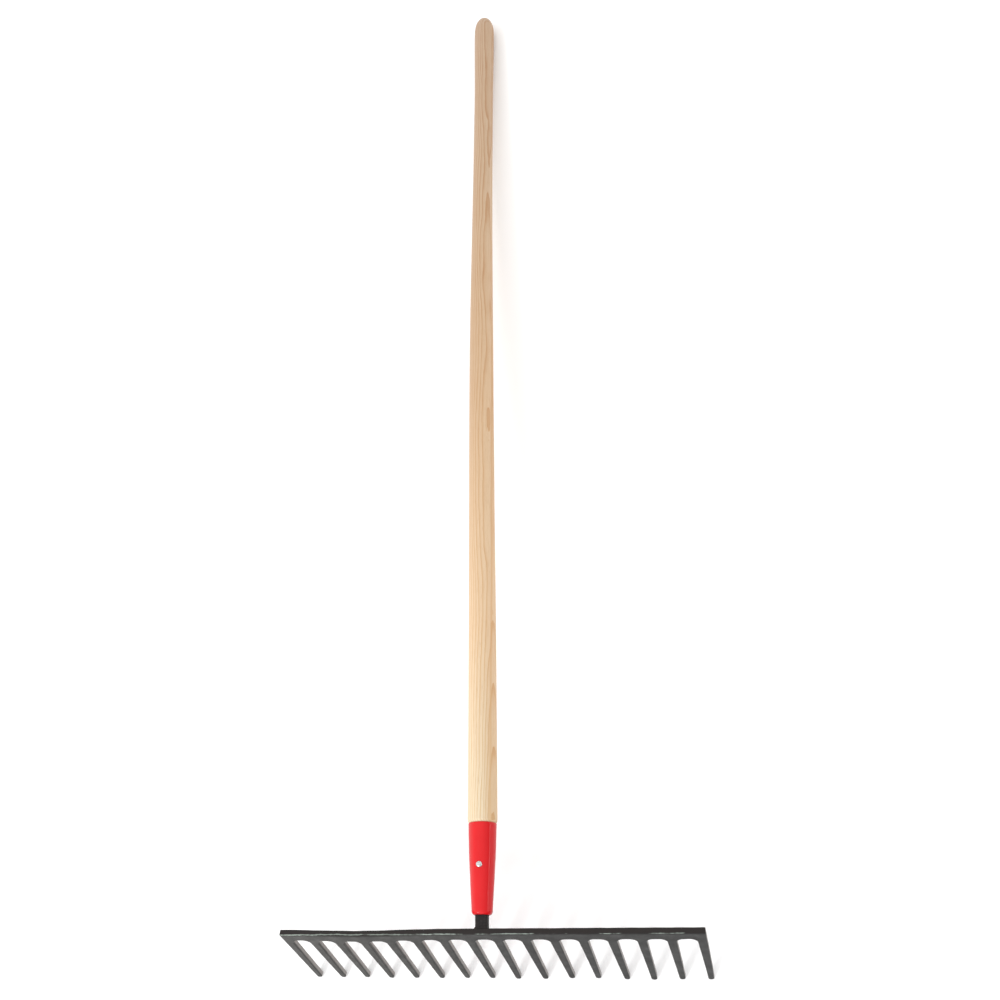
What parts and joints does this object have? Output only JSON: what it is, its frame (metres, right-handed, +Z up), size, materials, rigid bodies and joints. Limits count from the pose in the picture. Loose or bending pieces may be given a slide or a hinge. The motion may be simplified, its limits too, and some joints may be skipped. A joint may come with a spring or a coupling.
{
  "type": "garden rake",
  "caption": "Level-head garden rake: a flat forged steel comb with straight tapered tines, a tang, a tapered red ferrule with one rivet, and a long round ash handle with a domed end.",
  "frame": {"origin": "on the ground, in the middle of the rake's length and width, with the rake lying tines down", "axes": "+X along the comb's bar, +Y towards the top of the handle, +Z up from the ground that the tine tips and the handle's end rest on"},
  "size_m": [0.4142, 1.3464, 0.1034],
  "materials": {
    "comb_steel": "thin dark lacquer over forged steel, satin",
    "tang_steel": "black lacquer over forge scale, matt",
    "ferrule_paint": "gloss red enamel",
    "rivet_steel": "hammered bright steel",
    "ash_wood": "sanded ash, thin clear lacquer, satin"
  },
  "bodies": {
    "root": {"tine_head": "comb_steel", "tang": "tang_steel", "ferrule": "ferrule_paint", "rivet": "rivet_steel", "handle": "ash_wood"}
  },
  "joints": []
}
